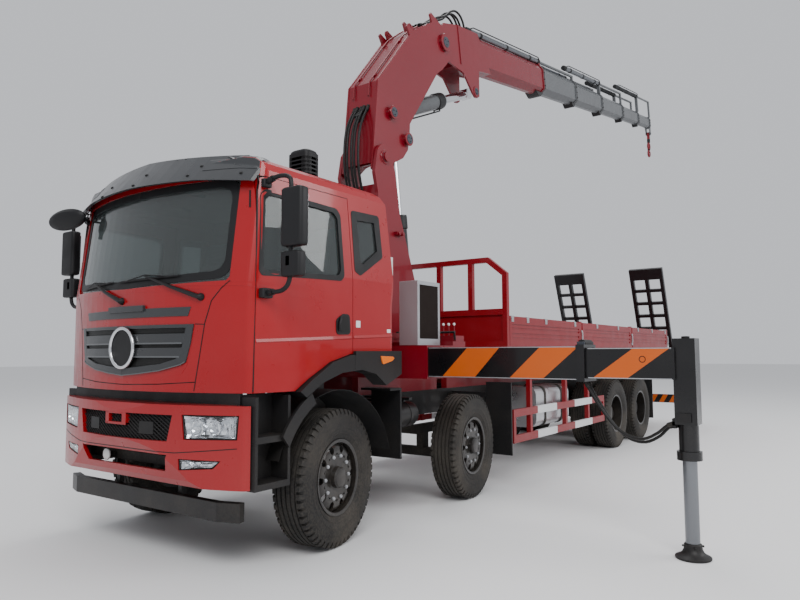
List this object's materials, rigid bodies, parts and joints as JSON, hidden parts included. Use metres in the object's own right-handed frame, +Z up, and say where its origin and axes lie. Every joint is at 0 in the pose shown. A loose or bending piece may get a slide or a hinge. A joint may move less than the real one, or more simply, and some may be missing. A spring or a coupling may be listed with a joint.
{
  "type": "truck-mounted crane",
  "caption": "Cab-over flatbed truck with a rear-facing knuckle-boom crane behind the cab, dropsides, standing loading ramps and outriggers set down.",
  "frame": {"origin": "on the ground, in the middle of the whole machine", "axes": "+X forward, +Y to the vehicle's left, +Z up"},
  "size_m": [15.2255, 7.256, 8.1179],
  "materials": {
    "red_paint": "gloss",
    "dark_red_paint": "satin",
    "black_paint": "satin",
    "grey_paint": "satin",
    "black_plastic": "matte",
    "tyre": "matte",
    "glass": "clear",
    "lamp_glass": "clear",
    "rod_steel": "polished",
    "steel": "satin",
    "tank_aluminium": "satin",
    "iron": "rough",
    "trim": "matte"
  },
  "bodies": {
    "chassis": {"chassis_frame": "black_paint", "axles": "iron", "engine_block": "iron", "fuel_tank": "tank_aluminium", "side_guards": "dark_red_paint", "mudguards": "black_plastic", "bumper": "red_paint", "front_lamps": "lamp_glass", "underrun_guards": "black_paint", "bed_floor": "dark_red_paint", "headboard": "dark_red_paint", "crane_base": "dark_red_paint"},
    "cab": {"cab_shell": "red_paint", "front_panel": "black_plastic", "cab_glass": "glass", "sun_visor": "black_plastic", "wheel_arches": "black_plastic", "cab_interior": "trim"},
    "door_left": {"door_left": "red_paint", "door_glass_left": "glass", "mirror_left": "black_plastic"},
    "door_right": {"door_right": "red_paint", "door_glass_right": "glass", "mirror_right": "black_plastic"},
    "knuckle_left_1": {"knuckle_left_1": "iron"},
    "knuckle_left_2": {"knuckle_left_2": "iron"},
    "wheel_left_1": {"wheel_left_1": "tyre"},
    "wheel_left_2": {"wheel_left_2": "tyre"},
    "wheel_left_3": {"wheel_left_3": "tyre"},
    "wheel_left_4": {"wheel_left_4": "tyre"},
    "outrigger_beam_left": {"outrigger_beam_left": "black_paint"},
    "outrigger_arm_left": {"outrigger_arm_left": "black_paint"},
    "jack_left": {"jack_left": "rod_steel"},
    "dropside_left": {"dropside_left": "red_paint"},
    "ramp_left": {"ramp_left": "black_paint"},
    "knuckle_right_1": {"knuckle_right_1": "iron"},
    "knuckle_right_2": {"knuckle_right_2": "iron"},
    "wheel_right_1": {"wheel_right_1": "tyre"},
    "wheel_right_2": {"wheel_right_2": "tyre"},
    "wheel_right_3": {"wheel_right_3": "tyre"},
    "wheel_right_4": {"wheel_right_4": "tyre"},
    "outrigger_beam_right": {"outrigger_beam_right": "black_paint"},
    "outrigger_arm_right": {"outrigger_arm_right": "black_paint"},
    "jack_right": {"jack_right": "rod_steel"},
    "dropside_right": {"dropside_right": "red_paint"},
    "ramp_right": {"ramp_right": "black_paint"},
    "column": {"column": "dark_red_paint"},
    "lift_barrel": {"lift_barrel": "black_paint"},
    "lift_rod": {"lift_rod": "rod_steel"},
    "main_boom": {"main_boom": "red_paint"},
    "fold_barrel": {"fold_barrel": "grey_paint"},
    "fold_rod": {"fold_rod": "rod_steel"},
    "outer_boom": {"outer_boom": "red_paint"},
    "hook": {"hook": "dark_red_paint"},
    "boom_stage_1": {"boom_stage_1": "grey_paint"},
    "boom_stage_2": {"boom_stage_2": "grey_paint"},
    "boom_stage_3": {"boom_stage_3": "grey_paint"},
    "boom_stage_4": {"boom_stage_4": "grey_paint"},
    "boom_stage_5": {"boom_stage_5": "grey_paint"}
  },
  "joints": [
    {"name": "cab_tilt", "type": "hinge", "parent": "chassis", "child": "cab", "pos_m": [7.49776, 0, 0.9], "axis": [0, 1, 0], "range_deg": [0, 50]},
    {"name": "door_left_hinge", "type": "hinge", "parent": "cab", "child": "door_left", "pos_m": [7.30676, 1.222, 1.9], "axis": [0, 0, -1], "range_deg": [0, 65]},
    {"name": "door_right_hinge", "type": "hinge", "parent": "cab", "child": "door_right", "pos_m": [7.30676, -1.222, 1.9], "axis": [0, 0, 1], "range_deg": [0, 65]},
    {"name": "steer_left_1", "type": "hinge", "parent": "chassis", "child": "knuckle_left_1", "pos_m": [6.41776, 0.969, 0.5425], "axis": [0, 0, 1], "range_deg": [-36, 20]},
    {"name": "spin_left_1", "type": "hinge", "parent": "knuckle_left_1", "child": "wheel_left_1", "pos_m": [6.4092, 1.02839, 0.5425], "axis": [-0.1426, 0.9898, 0], "continuous": true},
    {"name": "steer_right_1", "type": "hinge", "parent": "chassis", "child": "knuckle_right_1", "pos_m": [6.41776, -0.969, 0.5425], "axis": [0, 0, 1], "range_deg": [-36, 20]},
    {"name": "spin_right_1", "type": "hinge", "parent": "knuckle_right_1", "child": "wheel_right_1", "pos_m": [6.42632, -1.02839, 0.5425], "axis": [-0.1426, 0.9898, 0], "continuous": true},
    {"name": "steer_left_2", "type": "hinge", "parent": "chassis", "child": "knuckle_left_2", "pos_m": [4.21776, 0.969, 0.5425], "axis": [0, 0, 1], "range_deg": [-24.6, 13.7]},
    {"name": "spin_left_2", "type": "hinge", "parent": "knuckle_left_2", "child": "wheel_left_2", "pos_m": [4.2119, 1.02871, 0.5425], "axis": [-0.0976, 0.9952, 0], "continuous": true},
    {"name": "steer_right_2", "type": "hinge", "parent": "chassis", "child": "knuckle_right_2", "pos_m": [4.21776, -0.969, 0.5425], "axis": [0, 0, 1], "range_deg": [-24.6, 13.7]},
    {"name": "spin_right_2", "type": "hinge", "parent": "knuckle_right_2", "child": "wheel_right_2", "pos_m": [4.22361, -1.02871, 0.5425], "axis": [-0.0976, 0.9952, 0], "continuous": true},
    {"name": "spin_left_3", "type": "hinge", "parent": "chassis", "child": "wheel_left_3", "pos_m": [-0.38224, 0.928, 0.5425], "axis": [0, 1, 0], "continuous": true},
    {"name": "spin_right_3", "type": "hinge", "parent": "chassis", "child": "wheel_right_3", "pos_m": [-0.38224, -0.928, 0.5425], "axis": [0, 1, 0], "continuous": true},
    {"name": "spin_left_4", "type": "hinge", "parent": "chassis", "child": "wheel_left_4", "pos_m": [-1.73224, 0.928, 0.5425], "axis": [0, 1, 0], "continuous": true},
    {"name": "spin_right_4", "type": "hinge", "parent": "chassis", "child": "wheel_right_4", "pos_m": [-1.73224, -0.928, 0.5425], "axis": [0, 1, 0], "continuous": true},
    {"name": "slew", "type": "hinge", "parent": "chassis", "child": "column", "pos_m": [4.38776, 0, 1.68], "axis": [0, 0, 1], "range_deg": [-180, 180]},
    {"name": "lift", "type": "hinge", "parent": "column", "child": "main_boom", "pos_m": [4.58776, 0, 3.725], "axis": [0, 1, 0], "range_deg": [-20, 30]},
    {"name": "fold", "type": "hinge", "parent": "main_boom", "child": "outer_boom", "pos_m": [3.21768, 0, 5.59972], "axis": [0, 1, 0], "range_deg": [-28, 33]},
    {"name": "lift_barrel_swing", "type": "hinge", "parent": "column", "child": "lift_barrel", "pos_m": [3.80776, 0, 1.87], "axis": [0, 1, 0], "range_deg": [-2.82, 4.23]},
    {"name": "lift_rod_slide", "type": "slide", "parent": "lift_barrel", "child": "lift_rod", "axis": [0.1334, 0, 0.9911], "range_m": [-0.1741, 0.2611]},
    {"name": "fold_barrel_swing", "type": "hinge", "parent": "main_boom", "child": "fold_barrel", "pos_m": [4.40527, 0, 4.30011], "axis": [0, 1, 0], "range_deg": [-8.87, 10.46]},
    {"name": "fold_rod_slide", "type": "slide", "parent": "fold_barrel", "child": "fold_rod", "axis": [-0.9127, 0, 0.4086], "range_m": [-0.3297, 0.3886]},
    {"name": "extend_1", "type": "slide", "parent": "outer_boom", "child": "boom_stage_1", "axis": [-0.9848, 0, 0.1736], "range_m": [-1.4, 0.25]},
    {"name": "extend_2", "type": "slide", "parent": "boom_stage_1", "child": "boom_stage_2", "axis": [-0.9848, 0, 0.1736], "range_m": [-1.4, 0.25]},
    {"name": "extend_3", "type": "slide", "parent": "boom_stage_2", "child": "boom_stage_3", "axis": [-0.9848, 0, 0.1736], "range_m": [-1.358, 0.242]},
    {"name": "extend_4", "type": "slide", "parent": "boom_stage_3", "child": "boom_stage_4", "axis": [-0.9848, 0, 0.1736], "range_m": [-1.176, 0.21]},
    {"name": "extend_5", "type": "slide", "parent": "boom_stage_4", "child": "boom_stage_5", "axis": [-0.9848, 0, 0.1736], "range_m": [-0.966, 0.172]},
    {"name": "hook_swing", "type": "hinge", "parent": "boom_stage_5", "child": "hook", "pos_m": [-7.50876, 0, 7.30729], "axis": [0, 1, 0], "range_deg": [-72, 60]},
    {"name": "outrigger_left_slide", "type": "slide", "parent": "chassis", "child": "outrigger_beam_left", "axis": [0, 1, 0], "range_m": [-1.42, 0]},
    {"name": "outrigger_left_arm_slide", "type": "slide", "parent": "outrigger_beam_left", "child": "outrigger_arm_left", "axis": [0, 1, 0], "range_m": [-0.656, 0]},
    {"name": "jack_left_slide", "type": "slide", "parent": "outrigger_arm_left", "child": "jack_left", "axis": [0, 0, 1], "range_m": [0, 0.6]},
    {"name": "outrigger_right_slide", "type": "slide", "parent": "chassis", "child": "outrigger_beam_right", "axis": [0, -1, 0], "range_m": [-1.42, 0]},
    {"name": "outrigger_right_arm_slide", "type": "slide", "parent": "outrigger_beam_right", "child": "outrigger_arm_right", "axis": [0, -1, 0], "range_m": [-0.656, 0]},
    {"name": "jack_right_slide", "type": "slide", "parent": "outrigger_arm_right", "child": "jack_right", "axis": [0, 0, 1], "range_m": [0, 0.6]},
    {"name": "dropside_left_hinge", "type": "hinge", "parent": "chassis", "child": "dropside_left", "pos_m": [-0.03224, 1.254, 1.602], "axis": [-1, 0, 0], "range_deg": [0, 170]},
    {"name": "ramp_left_hinge", "type": "hinge", "parent": "chassis", "child": "ramp_left", "pos_m": [-4.56912, 0.829, 1.225], "axis": [0, -1, 0], "range_deg": [0, 145]},
    {"name": "dropside_right_hinge", "type": "hinge", "parent": "chassis", "child": "dropside_right", "pos_m": [-0.03224, -1.254, 1.602], "axis": [1, 0, 0], "range_deg": [0, 170]},
    {"name": "ramp_right_hinge", "type": "hinge", "parent": "chassis", "child": "ramp_right", "pos_m": [-4.56912, -0.829, 1.225], "axis": [0, -1, 0], "range_deg": [0, 145]}
  ],
  "couplings": [
    {"joint": "steer_right_1", "follows": "steer_left_1", "ratio": 1},
    {"joint": "steer_left_2", "follows": "steer_left_1", "ratio": 0.68},
    {"joint": "steer_right_2", "follows": "steer_left_1", "ratio": 0.68},
    {"joint": "lift_barrel_swing", "follows": "lift", "ratio": 0.13822},
    {"joint": "lift_rod_slide", "follows": "lift", "m_per_rad": 0.48897},
    {"joint": "fold_barrel_swing", "follows": "fold", "ratio": 0.31063},
    {"joint": "fold_rod_slide", "follows": "fold", "m_per_rad": 0.6614},
    {"joint": "extend_2", "follows": "extend_1", "ratio": 1},
    {"joint": "extend_3", "follows": "extend_1", "ratio": 0.97},
    {"joint": "extend_4", "follows": "extend_1", "ratio": 0.84},
    {"joint": "extend_5", "follows": "extend_1", "ratio": 0.69},
    {"joint": "outrigger_left_arm_slide", "follows": "outrigger_left_slide", "ratio": 0.461},
    {"joint": "outrigger_right_arm_slide", "follows": "outrigger_right_slide", "ratio": 0.461}
  ]
}
